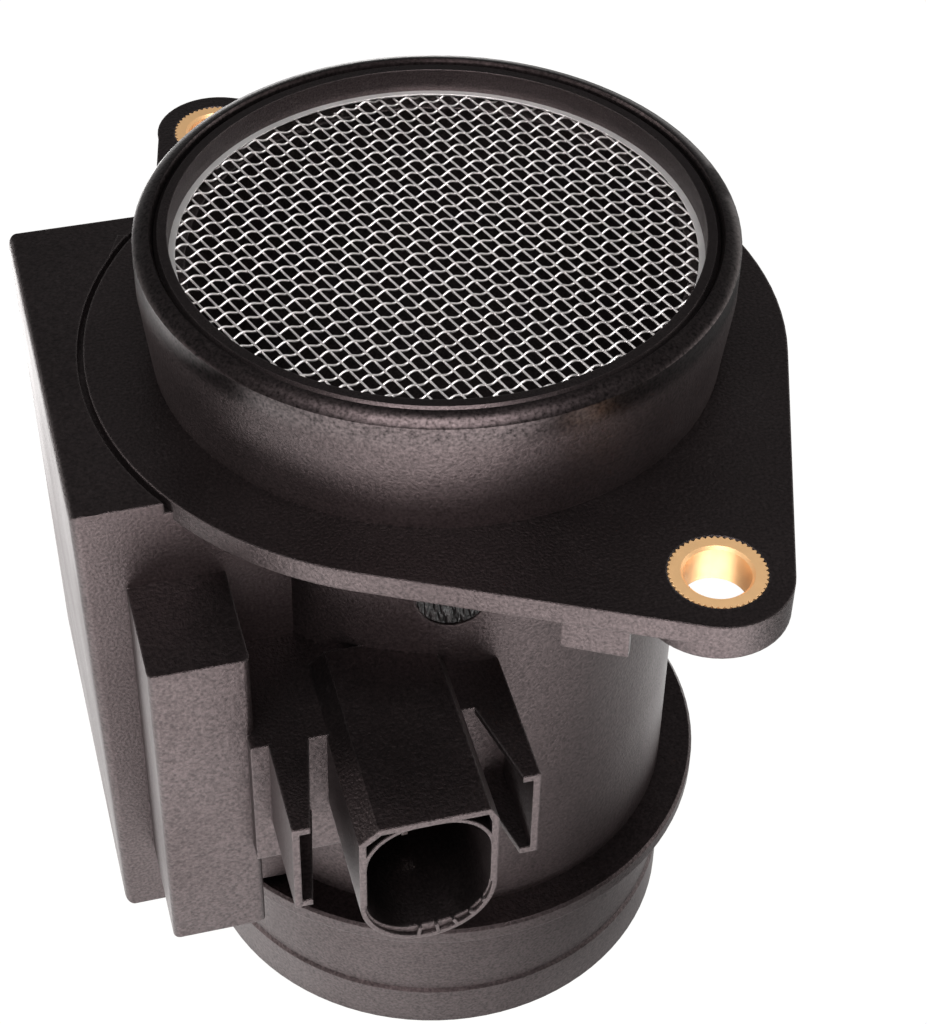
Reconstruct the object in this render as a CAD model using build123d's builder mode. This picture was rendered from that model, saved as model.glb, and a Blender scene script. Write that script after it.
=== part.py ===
from build123d import *
import os
from math import cos, sin, radians

# Mass airflow sensor, standing on its outlet end. Millimetres.
# The air duct runs up the Z axis from the outlet face at Z = 0; the electronics
# box lies towards -X and the plug socket points towards -Y.

# ---- duct, measured up its axis ----
duct_height = 118.8            # crest of the inlet rim
rim_edge_height = 118.2        # outer edge of the inlet rim
flange_top = 101.2
flange_thickness = 3.0
shoulder_top = 26.2
shoulder_bottom = 23.8
end_band_height = 6.9

bore_radius = 31.2
tube_radius = 33.6
collar_radius = 37.4
rim_crest_radius = 35.6
recess_radius = 34.9           # seat of the screen and its retaining ring
recess_floor = 113.8
shoulder_radius = 38.4
hose_band_radius = 34.2
end_band_radius = 34.6
collar_base_radius = 36.2      # the collar narrows below its band, down to the flange
collar_band_height = 6.0

# ---- mounting flange ----
flange_radius = 44.7
front_ear_radius = 9.0
front_ear_reach = 54.0
front_ear_angle = -67.4
back_ear_radius = 8.3
back_ear_reach = 53.1
back_ear_angle = 110.9
ear_boss_thickness = 5.0
ear_flat_x = -30.7             # the back ear's flat left side starts here at the box
ear_flat_lean = -11.8
seam_width = 0.8               # groove between the flange and the top of the box
seam_depth = 1.8
insert_radius = 5.9
insert_bore_radius = 4.0
insert_teeth = 30
insert_tooth_depth = 0.25
tab_length = 8.0
tab_thickness = 1.2
tab_drop = 4.6
tab_centre = (5.9, -51.2)
tab_turn = -27.3

# ---- electronics box ----
box_left = -50.4
box_front = -23.2
box_back = 33.0
box_top = flange_top - 0.2
box_bottom = 27.2
box_draft = 1.2                # how far the left face leans in at its foot
box_wall = 3.0
box_floor_x = -36.8            # floor of the electronics chamber
box_corner = 1.2
cover_thickness = 2.8
cover_lip_depth = 1.6
cover_lip_width = 1.2
fit_gap = 0.15
seal_width = 1.2
seal_depth = 1.0

# ---- lead channel block on the front of the box ----
block_left = -44.6
block_right = -32.4
block_front = -38.6
block_bottom = 38.2
block_top = 88.2
block_wall = 2.0

# ---- plug socket, its mounting pad and its two guards ----
socket_x = -15.5
socket_width = 17.0
socket_mouth = -58.4
socket_root = -29.0
socket_top = 77.0
socket_bottom = 54.9
socket_chamfer_left = 2.4
socket_chamfer_right = 1.0
socket_chamfer_z = 2.0
socket_wall = 0.85
socket_floor_wall = 2.0
socket_depth = 21.5
socket_corner_radius = 6.2
socket_rib = 0.45              # thin wall between the cavity and its corner pockets
socket_pocket_depth = 5.0
lip_wall = 0.6                 # lower edge of the mouth outside its shallow recess
lip_depth = 0.5
lip_rib_count = 5
pad_front = -41.0
pad_top = 75.2
pad_bottom = 54.2
pad_right = -0.4
guard_left = -31.2
guard_bottom = 60.8
guard_wall = 0.9
guard_root_width = 5.0
guard_tip_width = 2.2
guard_reach_left = 13.6
guard_reach_right = 12.2

# ---- terminals ----
terminal_count = 5
terminal_pitch = 3.0
terminal_width = 1.5           # up the row
terminal_thickness = 0.8
terminal_row_z = 66.4
terminal_tip_y = -46.0
terminal_turn_y = -34.4
terminal_tail_x = -38.9
terminal_end_y = -18.4

# ---- electronics ----
plate_thickness = 1.5
plate_size = (46.0, 60.0)      # along Y, up Z
board_thickness = 1.0
board_size = (40.0, 52.0)
board_centre = (4.6, 63.8)     # Y, Z
bond_thickness = 0.25
window_size = (9.0, 14.0)

# ---- sensing arm across the duct ----
arm_z = 67.8
arm_y = 5.0
arm_width = 8.0
arm_height = 17.0
arm_tip_x = 7.0
arm_root_width = 15.0
arm_root_height = 26.0
arm_root_depth = 1.6
channel_width = 9.0
channel_wall = 1.4
arm_cover_thickness = 1.0
film_size = (9.0, 0.6, 7.0)
bead_radius = 1.3

# ---- inlet screen ----
screen_radius = 33.8
screen_level = 114.55          # mid plane of the weave
web_thickness = 0.4
wire_rise = 0.22
warp_pitch = 1.68
weft_pitch = 2.08
wire_diameter = 0.45
warp_angle = -69.8
weft_angle = 18.0
open_step = 4                  # bars of the solid screen stand at every fourth wire
bar_width = 1.2
screen_rim_inner = 32.3
screen_rim_height = 1.4
retainer_inner = 33.1
retainer_top = 118.5
retainer_bevel = 0.5


def polar(radius, angle):
    return radius * cos(radians(angle)), radius * sin(radians(angle))


back_ear = polar(back_ear_reach, back_ear_angle)
front_ear = polar(front_ear_reach, front_ear_angle)
chamber_left = box_left + cover_thickness
chamber_front = box_front + box_wall
chamber_back = box_back - box_wall
chamber_bottom = box_bottom + box_wall
chamber_top = box_top - box_wall
chamber_mid = ((chamber_front + chamber_back) / 2, (chamber_bottom + chamber_top) / 2)
plate_face_x = box_floor_x - plate_thickness
board_face_x = plate_face_x - board_thickness
socket_left = socket_x - socket_width / 2
socket_right = socket_x + socket_width / 2
socket_round = socket_width / 2
socket_round_z = socket_bottom + socket_round


os.makedirs("parts", exist_ok=True)

# ---- terminals: a pin in the socket, a run behind the pad, a tail in the box ----
terminals = []
for number in range(terminal_count):
    level = terminal_row_z + (number - (terminal_count - 1) / 2) * terminal_pitch
    with BuildPart() as terminal:
        half = terminal_thickness / 2
        with BuildSketch(Plane.XY.offset(level - terminal_width / 2)):
            with BuildLine():
                Polyline(
                    (socket_x + half, terminal_tip_y),
                    (socket_x + half, terminal_turn_y + half),
                    (terminal_tail_x + half, terminal_turn_y + half),
                    (terminal_tail_x + half, terminal_end_y),
                    (terminal_tail_x - half, terminal_end_y),
                    (terminal_tail_x - half, terminal_turn_y - half),
                    (socket_x - half, terminal_turn_y - half),
                    (socket_x - half, terminal_tip_y),
                    close=True,
                )
            make_face()
        extrude(amount=terminal_width)
    terminal.part.label = f"terminal_{number + 1}"
    terminals.append(terminal)


# ---- main housing: duct, flange, box, lead block, socket and guards in one moulding ----
with BuildPart() as housing:
    # duct, collars and shoulder turned about the duct axis
    with BuildSketch(Plane.XZ):
        with BuildLine():
            Polyline(
                (0, 0),
                (end_band_radius, 0),
                (end_band_radius, end_band_height),
                (hose_band_radius, end_band_height + 0.5),
                (hose_band_radius, shoulder_bottom - 0.7),
                (shoulder_radius, shoulder_bottom),
                (shoulder_radius, shoulder_top - 0.4),
                (shoulder_radius - 0.4, shoulder_top),
                (tube_radius, shoulder_top),
                (tube_radius, flange_top - flange_thickness),
                (collar_base_radius, flange_top - flange_thickness),
                (collar_base_radius, flange_top),
                (collar_radius, rim_edge_height - collar_band_height),
                (collar_radius, rim_edge_height - 0.5),
                (collar_radius - 0.4, rim_edge_height),
                (rim_crest_radius, duct_height),
                (0, duct_height),
                close=True,
            )
        make_face()
    revolve(axis=Axis.Z)

    # electronics box, closed on its left by the cover
    with BuildSketch(Plane.XY.offset(box_bottom)):
        with Locations((chamber_left, box_front)):
            Rectangle(-chamber_left, box_back - box_front, align=(Align.MIN, Align.MIN))
    extrude(amount=box_top - box_bottom)

    # lead block on the front of the box
    with BuildSketch(Plane.XY.offset(block_bottom)) as block_plan:
        with Locations((block_left, block_front)):
            Rectangle(block_right - block_left, box_front - block_front + 1, align=(Align.MIN, Align.MIN))
        fillet(block_plan.vertices().group_by(Axis.Y)[0], radius=0.9)
    extrude(amount=block_top - block_bottom)

    # pad behind the socket, joined to the lead block
    with BuildSketch(Plane.XY.offset(pad_bottom)):
        with Locations((block_right - 1, pad_front)):
            Rectangle(pad_right - block_right + 1, 22, align=(Align.MIN, Align.MIN))
    extrude(amount=pad_top - pad_bottom)

    # socket shell, round below and chamfered above
    with BuildSketch(Plane.XZ.offset(-socket_mouth)):
        with BuildLine():
            Polyline(
                (socket_left, socket_round_z),
                (socket_left, socket_top - socket_chamfer_z),
                (socket_left + socket_chamfer_left, socket_top),
                (socket_right - socket_chamfer_right, socket_top),
                (socket_right, socket_top - socket_chamfer_z),
                (socket_right, socket_round_z),
            )
            ThreePointArc(
                (socket_right, socket_round_z), (socket_x, socket_bottom), (socket_left, socket_round_z)
            )
        make_face()
    extrude(amount=socket_mouth - socket_root)

    # flange plate around the duct and out to both ears, thicker under the ears
    with BuildSketch(Plane.XY.offset(flange_top - flange_thickness)) as flange_plan:
        Circle(flange_radius)
        with Locations(back_ear):
            Circle(back_ear_radius)
        with Locations(front_ear):
            Circle(front_ear_radius)
        make_hull()
        # the back ear's left side runs straight to the back corner of the box
        with Locations(Location((ear_flat_x - 1, box_back - 4.7), ear_flat_lean)):
            Rectangle(20, 60, align=(Align.MAX, Align.MIN), mode=Mode.SUBTRACT)
    extrude(amount=flange_thickness)
    with BuildSketch(Plane.XY.offset(flange_top - ear_boss_thickness)):
        with Locations(back_ear):
            Circle(back_ear_radius)
        with Locations(front_ear):
            Circle(front_ear_radius)
    extrude(amount=ear_boss_thickness)

    # guards either side of the socket: an outer wall with a tapered lip above and below
    for outer_x, inward, reach in ((guard_left, 1, guard_reach_left), (pad_right, -1, guard_reach_right)):
        for lip_z in (guard_bottom, pad_top - guard_wall):
            with BuildSketch(Plane.XY.offset(lip_z)):
                with BuildLine():
                    Polyline(
                        (outer_x, pad_front),
                        (outer_x + inward * guard_root_width, pad_front),
                        (outer_x + inward * guard_tip_width, pad_front - reach),
                        (outer_x, pad_front - reach),
                        close=True,
                    )
                make_face()
            extrude(amount=guard_wall)
        with BuildSketch(Plane.XY.offset(guard_bottom)):
            with Locations((outer_x + inward * guard_wall / 2, pad_front - reach / 2)):
                Rectangle(guard_wall, reach)
        extrude(amount=pad_top - guard_bottom)

    # tab hanging under the front edge of the flange
    with BuildSketch(Plane.XY.offset(flange_top - flange_thickness - tab_drop)):
        with Locations(Location(tab_centre, tab_turn)):
            Rectangle(tab_length, tab_thickness)
    extrude(amount=tab_drop)

    # ---- openings ----
    # duct bore, and the seat of the screen at the inlet
    with BuildSketch(Plane.XZ):
        with BuildLine():
            Polyline(
                (0, -1),
                (bore_radius, -1),
                (bore_radius, recess_floor),
                (recess_radius, recess_floor),
                (recess_radius, rim_edge_height - 0.2),
                (rim_crest_radius - 0.3, duct_height + 0.01),
                (rim_crest_radius - 0.3, duct_height + 1),
                (0, duct_height + 1),
                close=True,
            )
        make_face()
    revolve(axis=Axis.Z, mode=Mode.SUBTRACT)

    # groove in the top of the box, following the edge of the flange
    with BuildSketch(Plane.XY.offset(flange_top)):
        Circle(flange_radius + seam_width)
        Circle(flange_radius, mode=Mode.SUBTRACT)
        with Locations((ear_flat_x, box_front - 1)):
            Rectangle(30, box_back - box_front + 1, align=(Align.MAX, Align.MIN), mode=Mode.INTERSECT)
    extrude(amount=-seam_depth, mode=Mode.SUBTRACT)

    # electronics chamber, open to the left
    with BuildSketch(Plane.YZ.offset(chamber_left)):
        with Locations(chamber_mid):
            Rectangle(chamber_back - chamber_front, chamber_top - chamber_bottom)
    extrude(amount=box_floor_x - chamber_left, mode=Mode.SUBTRACT)

    # groove for the cover seal
    with BuildSketch(Plane.YZ.offset(chamber_left)):
        with Locations(chamber_mid):
            Rectangle(chamber_back - chamber_front + 2 * seal_width + 0.8,
                      chamber_top - chamber_bottom + 2 * seal_width + 0.8)
            Rectangle(chamber_back - chamber_front + 0.8, chamber_top - chamber_bottom + 0.8,
                      mode=Mode.SUBTRACT)
    extrude(amount=seal_depth, mode=Mode.SUBTRACT)

    # lead channel through the block into the chamber
    with BuildSketch(Plane.XY.offset(block_bottom + block_wall)):
        with Locations((block_left + block_wall, block_front + block_wall)):
            Rectangle(block_right - block_left - 2 * block_wall, chamber_front - block_front - block_wall + 0.01,
                      align=(Align.MIN, Align.MIN))
    extrude(amount=block_top - block_bottom - 2 * block_wall, mode=Mode.SUBTRACT)

    # socket cavity: round cornered, with a pocket behind a thin rib in each upper corner
    cavity_height = socket_top - socket_wall - socket_bottom - socket_floor_wall
    with BuildSketch(Plane.XZ.offset(-socket_mouth)) as cavity:
        with Locations((socket_x, socket_bottom + socket_floor_wall + cavity_height / 2)):
            Rectangle(socket_width - 2 * socket_wall, cavity_height)
        fillet(cavity.vertices(), radius=socket_corner_radius)
    extrude(amount=-socket_depth, mode=Mode.SUBTRACT)
    with BuildSketch(Plane.XZ.offset(-socket_mouth)):
        with BuildLine():
            inner_left = socket_left + socket_wall
            inner_right = socket_right - socket_wall
            inner_top = socket_top - socket_wall
            Polyline(
                (inner_left, socket_round_z + 4),
                (inner_left, socket_top - socket_chamfer_z - 0.4),
                (socket_left + socket_chamfer_left + 0.3, inner_top),
                (socket_right - socket_chamfer_right - 0.3, inner_top),
                (inner_right, socket_top - socket_chamfer_z - 0.4),
                (inner_right, socket_round_z + 4),
                close=True,
            )
        make_face()
        with Locations((socket_x, socket_bottom + socket_floor_wall + cavity_height / 2)):
            RectangleRounded(socket_width - 2 * socket_wall + 2 * socket_rib,
                             cavity_height + 2 * socket_rib,
                             socket_corner_radius + socket_rib, mode=Mode.SUBTRACT)
    extrude(amount=-socket_pocket_depth, mode=Mode.SUBTRACT)
    # shallow recess in the thick lower edge of the mouth, crossed by thin ribs
    with BuildSketch(Plane.XZ.offset(-socket_mouth)):
        with Locations((socket_x, socket_round_z)):
            Circle(socket_round - lip_wall)
            Rectangle(socket_width, socket_round, align=(Align.CENTER, Align.MAX), mode=Mode.INTERSECT)
            with PolarLocations(socket_round - 1.5, lip_rib_count, start_angle=-99, angular_range=72,
                                endpoint=True):
                Rectangle(4, socket_rib, mode=Mode.SUBTRACT)
    extrude(amount=-lip_depth, mode=Mode.SUBTRACT)

    # seats for the brass inserts
    with Locations(*[(x, y, flange_top) for x, y in (back_ear, front_ear)]):
        Hole(insert_radius, depth=ear_boss_thickness)

    # slot for the sensing arm and the pocket of its foot
    with BuildSketch(Plane.YZ.offset(box_floor_x)):
        with Locations((arm_y, arm_z)):
            Rectangle(arm_root_width, arm_root_height)
    extrude(amount=arm_root_depth, mode=Mode.SUBTRACT)
    with BuildSketch(Plane.YZ.offset(box_floor_x)):
        with Locations((arm_y, arm_z)):
            Rectangle(arm_width, arm_height)
    extrude(amount=10, mode=Mode.SUBTRACT)

    # round date-wheel recess in the tube below the flange
    with BuildSketch(Plane(origin=(polar(tube_radius - 0.5, -101) + (86.5,)),
                           z_dir=(polar(1, -101) + (0,)))):
        Circle(4.5)
    extrude(amount=3, mode=Mode.SUBTRACT)

    # the plastic closes round the terminals
    for terminal in terminals:
        add(terminal.part, mode=Mode.SUBTRACT)
housing.part.label = "housing"
export_step(housing.part, "parts/housing.step")

for terminal in terminals:
    export_step(terminal.part, f"parts/{terminal.part.label}.step")


# ---- brass inserts of the flange, knurled round their rim ----
for side, (x, y) in (("rear", back_ear), ("front", front_ear)):
    with BuildPart() as insert:
        with BuildSketch(Plane.XY.offset(flange_top - ear_boss_thickness)):
            with Locations((x, y)):
                Circle(insert_radius)
                with PolarLocations(insert_radius, insert_teeth):
                    Rectangle(2 * insert_tooth_depth, 2 * insert_tooth_depth, rotation=45,
                              mode=Mode.SUBTRACT)
                Circle(insert_bore_radius, mode=Mode.SUBTRACT)
        extrude(amount=ear_boss_thickness)
    insert.part.label = f"insert_{side}"
    export_step(insert.part, f"parts/{insert.part.label}.step")


# ---- electronics cover: plate with rounded outer edges and a locating lip ----
with BuildPart() as cover:
    with BuildSketch(Plane.XZ.offset(-box_back)):
        with BuildLine():
            Polyline(
                (box_left, box_top),
                (chamber_left, box_top),
                (chamber_left, box_bottom),
                (box_left + box_draft, box_bottom),
                close=True,
            )
        make_face()
    extrude(amount=box_back - box_front)
    fillet(cover.faces().sort_by(Axis.X)[0].edges(), radius=box_corner)
    with BuildSketch(Plane.YZ.offset(chamber_left)):
        with Locations(chamber_mid):
            lip_size = (chamber_back - chamber_front - 2 * fit_gap, chamber_top - chamber_bottom - 2 * fit_gap)
            Rectangle(*lip_size)
            Rectangle(lip_size[0] - 2 * cover_lip_width, lip_size[1] - 2 * cover_lip_width,
                      mode=Mode.SUBTRACT)
    extrude(amount=cover_lip_depth)
cover.part.label = "electronics_cover"
export_step(cover.part, "parts/electronics_cover.step")

# seal bead between the cover and the box
with BuildPart() as seal:
    with BuildSketch(Plane.YZ.offset(chamber_left)):
        with Locations(chamber_mid):
            Rectangle(chamber_back - chamber_front + 2 * seal_width + 0.8,
                      chamber_top - chamber_bottom + 2 * seal_width + 0.8)
            Rectangle(chamber_back - chamber_front + 0.8, chamber_top - chamber_bottom + 0.8,
                      mode=Mode.SUBTRACT)
    extrude(amount=seal_depth)
seal.part.label = "cover_seal"
export_step(seal.part, "parts/cover_seal.step")


# ---- base plate and circuit board, each with a window for the sensing arm's foot ----
with BuildPart() as plate:
    with BuildSketch(Plane.YZ.offset(plate_face_x)) as plate_plan:
        with Locations(chamber_mid):
            Rectangle(*plate_size)
        fillet(plate_plan.vertices(), radius=2.0)
        with Locations((arm_y, arm_z)):
            Rectangle(*window_size, mode=Mode.SUBTRACT)
    extrude(amount=plate_thickness)
plate.part.label = "base_plate"
export_step(plate.part, "parts/base_plate.step")

with BuildPart() as board:
    with BuildSketch(Plane.YZ.offset(board_face_x)):
        with Locations(board_centre):
            Rectangle(*board_size)
        with Locations((arm_y, arm_z)):
            Rectangle(*window_size, mode=Mode.SUBTRACT)
    extrude(amount=board_thickness)
board.part.label = "circuit_board"
export_step(board.part, "parts/circuit_board.step")


# ---- parts on the board; each entry is (Y, Z) of a centre ----
board_parts = {
    "control_chip": ((10.0, 10.0), 1.8, [(16.5, 80.0)]),
    "voltage_regulator": ((6.6, 6.0), 2.3, [(-7.0, 46.0)]),
    "filter_capacitors": ((3.2, 1.6), 1.6, [(-8.0, 80.0 - 3.5 * n) for n in range(4)]),
    "resistors": ((1.3, 2.0), 0.6, [(8.0 + 3.0 * n, 50.0) for n in range(5)]),
}
for name, (size, height, places) in board_parts.items():
    with BuildPart() as component:
        with BuildSketch(Plane.YZ.offset(board_face_x - height)):
            with Locations(*places):
                Rectangle(*size)
        extrude(amount=height)
    component.part.label = name
    export_step(component.part, f"parts/{name}.step")

# thin leads from the terminals' tails to the board
with BuildPart() as terminal_bonds:
    with BuildSketch(Plane.YZ.offset(board_face_x - bond_thickness)):
        with Locations((-16.6, terminal_row_z)):
            with GridLocations(1, terminal_pitch, 1, terminal_count):
                Rectangle(4.8, 0.8)
    extrude(amount=bond_thickness)
terminal_bonds.part.label = "terminal_bonds"
export_step(terminal_bonds.part, "parts/terminal_bonds.step")

# thin leads from the sensing arm's foot to the board
with BuildPart() as arm_bonds:
    with BuildSketch(Plane.YZ.offset(board_face_x - bond_thickness)):
        with Locations((arm_y, arm_z + window_size[1] / 2)):
            with GridLocations(1.6, 1, 4, 1):
                Rectangle(0.6, 3.0)
    extrude(amount=bond_thickness)
arm_bonds.part.label = "arm_bonds"
export_step(arm_bonds.part, "parts/arm_bonds.step")


# ---- sensing elements ----
film_left = -channel_width - 1.5
with BuildPart() as film:
    with Locations((film_left + film_size[0] / 2, arm_y, arm_z)):
        Box(*film_size)
film.part.label = "hot_film_element"
export_step(film.part, "parts/hot_film_element.step")

arm_top = arm_z + arm_height / 2 - fit_gap
with BuildPart() as bead:
    with BuildSketch(Plane.XY.offset(arm_top + 1.4)):
        with Locations((-15, arm_y)):
            RegularPolygon(bead_radius, 8)
    extrude(amount=2.4)
    chamfer(bead.edges().filter_by(GeomType.LINE).filter_by(Plane.XY), length=0.4)
    with BuildSketch(Plane.XY.offset(arm_top - 1.5)):
        with Locations((-15.7, arm_y), (-14.3, arm_y)):
            Rectangle(0.5, 0.5)
    extrude(amount=3.2)
bead.part.label = "air_temperature_element"
export_step(bead.part, "parts/air_temperature_element.step")

# ---- sensing arm: foot in the box, boss through both windows, arm across the duct ----
arm_foot_depth = 1.0
with BuildPart() as arm:
    with BuildSketch(Plane.YZ.offset(board_face_x)):
        with Locations((arm_y, arm_z)):
            Rectangle(window_size[0] - 2 * fit_gap, window_size[1] - 2 * fit_gap)
    extrude(amount=box_floor_x - board_face_x)
    with BuildSketch(Plane.YZ.offset(box_floor_x)):
        with Locations((arm_y, arm_z)):
            Rectangle(arm_root_width - 2 * fit_gap, arm_root_height - 2 * fit_gap)
    extrude(amount=arm_foot_depth)
    with BuildSketch(Plane.YZ.offset(box_floor_x + arm_foot_depth)):
        with Locations((arm_y, arm_z)):
            Rectangle(arm_width - 2 * fit_gap, arm_height - 2 * fit_gap)
    extrude(amount=arm_tip_x - box_floor_x - arm_foot_depth)
    fillet(arm.faces().sort_by(Axis.X)[-1].edges().filter_by(Axis.Z), radius=2.0)
    # seat of the arm's cover
    cover_seat_y = arm_y + arm_width / 2 - fit_gap - arm_cover_thickness
    with BuildSketch(Plane.XY.offset(arm_z - arm_height)):
        with Locations((-26, cover_seat_y)):
            Rectangle(40, 5, align=(Align.MIN, Align.MIN))
    extrude(amount=2 * arm_height, mode=Mode.SUBTRACT)
    # measuring channel, straight through along the duct
    with BuildSketch(Plane.XY.offset(arm_z - arm_height)):
        with Locations((-6, arm_y - arm_width / 2 + fit_gap + channel_wall)):
            Rectangle(channel_width, arm_width, align=(Align.MIN, Align.MIN))
    extrude(amount=2 * arm_height, mode=Mode.SUBTRACT)
    add(film.part, mode=Mode.SUBTRACT)
    add(bead.part, mode=Mode.SUBTRACT)
arm.part.label = "sensing_arm"
export_step(arm.part, "parts/sensing_arm.step")

with BuildPart() as arm_cover:
    with BuildSketch(Plane.XY.offset(arm_z - arm_height / 2 + fit_gap)) as arm_cover_plan:
        with Locations((-26, cover_seat_y)):
            Rectangle(arm_tip_x + 26 - 1.0, arm_cover_thickness, align=(Align.MIN, Align.MIN))
    extrude(amount=arm_height - 2 * fit_gap)
arm_cover.part.label = "arm_cover"
export_step(arm_cover.part, "parts/arm_cover.step")

# gasket under the foot
with BuildPart() as arm_seal:
    with BuildSketch(Plane.YZ.offset(box_floor_x + arm_foot_depth)):
        with Locations((arm_y, arm_z)):
            Rectangle(arm_root_width - 2 * fit_gap, arm_root_height - 2 * fit_gap)
            Rectangle(arm_width, arm_height, mode=Mode.SUBTRACT)
    extrude(amount=arm_root_depth - arm_foot_depth)
arm_seal.part.label = "arm_seal"
export_step(arm_seal.part, "parts/arm_seal.step")


# ---- inlet screen: an openwork disc whose bars follow every fourth wire, a ridge along each ----
def chord(distance):
    return 2 * (screen_radius ** 2 - distance ** 2) ** 0.5 - 1.0


warp_step = open_step * warp_pitch
weft_step = open_step * weft_pitch
with BuildPart() as screen:
    with BuildSketch(Plane.XY.offset(screen_level - web_thickness / 2)):
        Circle(screen_radius)
    extrude(amount=web_thickness)
    # warp ridges stand above the disc, weft ridges below it
    for step, angle, base in (
        (warp_step, warp_angle, screen_level + web_thickness / 2),
        (weft_step, weft_angle, screen_level - web_thickness / 2 - wire_rise),
    ):
        half_count = int((screen_radius - 1) / step)
        with BuildSketch(Plane.XY.offset(base)):
            for bar in range(-half_count, half_count + 1):
                with Locations(Location(polar(bar * step, angle + 90), angle)):
                    Rectangle(chord(bar * step), wire_diameter)
        extrude(amount=wire_rise)
    # openings between the bars, cut off round by the rim
    with BuildSketch(Plane.XY.offset(screen_level - 1)):
        for i in range(-5, 5):
            for j in range(-4, 4):
                across = polar((i + 0.5) * warp_step, warp_angle + 90)
                along = polar((j + 0.5) * weft_step, weft_angle + 90)
                x, y = across[0] + along[0], across[1] + along[1]
                if x * x + y * y < (screen_rim_inner - 0.8) ** 2:
                    with Locations(Location((x, y), weft_angle)):
                        Rectangle(warp_step - bar_width, weft_step - bar_width)
        Circle(screen_rim_inner + 0.3, mode=Mode.INTERSECT)
    extrude(amount=2, mode=Mode.SUBTRACT)
screen.part.label = "inlet_screen"
export_step(screen.part, "parts/inlet_screen.step")

# angle-section rim over the edge of the screen
with BuildPart() as screen_rim:
    with BuildSketch(Plane.XZ):
        with BuildLine():
            Polyline(
                (screen_rim_inner, screen_level + 0.45),
                (screen_radius + 0.1, screen_level + 0.45),
                (screen_radius + 0.1, recess_floor),
                (recess_radius - 0.1, recess_floor),
                (recess_radius - 0.1, recess_floor + screen_rim_height),
                (screen_rim_inner, recess_floor + screen_rim_height),
                close=True,
            )
        make_face()
    revolve(axis=Axis.Z)
screen_rim.part.label = "screen_rim"
export_step(screen_rim.part, "parts/screen_rim.step")

# retaining ring pressed in above the screen, its flat top just below the rim
with BuildPart() as retainer:
    with BuildSketch(Plane.XZ):
        with BuildLine():
            base = recess_floor + screen_rim_height
            Polyline(
                (retainer_inner, base),
                (recess_radius - 0.1, base),
                (recess_radius - 0.1, retainer_top - retainer_bevel),
                (recess_radius - 0.1 - retainer_bevel, retainer_top),
                (retainer_inner, retainer_top),
                close=True,
            )
        make_face()
    revolve(axis=Axis.Z)
retainer.part.label = "screen_retainer"
export_step(retainer.part, "parts/screen_retainer.step")
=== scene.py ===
import math

import bpy
from mathutils import Matrix, Vector


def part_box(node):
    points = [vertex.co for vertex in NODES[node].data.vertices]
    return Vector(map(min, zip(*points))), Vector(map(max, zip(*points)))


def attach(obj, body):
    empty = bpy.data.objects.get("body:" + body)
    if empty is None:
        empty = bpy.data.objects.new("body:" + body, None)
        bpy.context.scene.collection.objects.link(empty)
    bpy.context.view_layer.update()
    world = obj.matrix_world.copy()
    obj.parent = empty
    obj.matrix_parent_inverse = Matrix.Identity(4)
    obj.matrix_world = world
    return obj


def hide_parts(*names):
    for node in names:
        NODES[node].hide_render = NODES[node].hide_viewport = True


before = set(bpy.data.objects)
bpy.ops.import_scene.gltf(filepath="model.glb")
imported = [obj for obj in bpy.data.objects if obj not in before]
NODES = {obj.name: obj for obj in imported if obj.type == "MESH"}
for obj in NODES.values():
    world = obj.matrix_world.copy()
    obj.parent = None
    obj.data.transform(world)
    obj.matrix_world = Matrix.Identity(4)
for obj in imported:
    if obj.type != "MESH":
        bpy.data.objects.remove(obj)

bl_info = {
    "name": "Mass airflow sensor",
    "version": (1, 0, 0),
    "blender": (4, 5, 0),
    "location": "3D View > Sidebar > Airflow sensor",
    "description": "Dresses the airflow sensor: moulded plastic, woven screen, brass inserts",
    "category": "Object",
}

MM = 0.001

# shapes
MERGE = 1e-6                                # points closer than this are joined
SKIN_SMOOTHING = math.radians(28)           # sharper edges than this stay sharp
WIRE_SMOOTHING = math.radians(50)
BRASS_SMOOTHING = math.radians(25)
WIRE_SIDES = 8
INSERT_BORE_RADIUS = 4.0 * MM
INSERT_OVERLAP = 0.1 * MM                   # how far the knurl bites into the plastic
COVER_THICKNESS = 2.8 * MM
DISC_SIDES = 64

# finish of the moulded plastic
LIP_HEIGHT = 114.0 * MM                     # the rolled lip of the inlet starts here
LIP_BLEND = 2.0 * MM
NO_LIP = 1.0                                # a height that nothing reaches
JOINT_GAP = (0.6 * MM, 1.2 * MM)            # edges stay sharp this close to a joint
# lighter colour of rubbed outer edges: partly real wear, partly a painted highlight
WEAR_AND_HIGHLIGHT_COLOUR = (0.12, 0.105, 0.105, 1.0)
WEAR_AND_HIGHLIGHT_SHARE = 0.40                           # how far a rubbed edge takes that colour, partly real wear and partly a painted highlight
SHEEN_TINT = (1.0, 0.77, 0.78, 1.0)
GLITTER = 2.0                               # how much the sheen follows the grain
LIP_DULLING = 0.4
BLOTCH_ROUGHNESS = 0.10
FLAT_ROUGHNESS = -0.18                      # added on level faces and on the lip
EDGE_POLISH = 0.12
RELIEF_DEPTH = 0.1 * MM
EDGE_PROBE = 0.5 * MM                       # depth at which an outer edge is looked for
ROUNDING_GAIN = 8.0                         # how fast the rounded normal takes over there
WEAR_GAIN = 12.0
POLISH_SPREAD = 0.2                         # range of the roughness of bare metal

# what the plastic mirrors: painted glow of the white sheet, by distance from the duct axis, with
# painted shade near the sensor
AXIS = (0.0, 0.0, 0.0)
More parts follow.
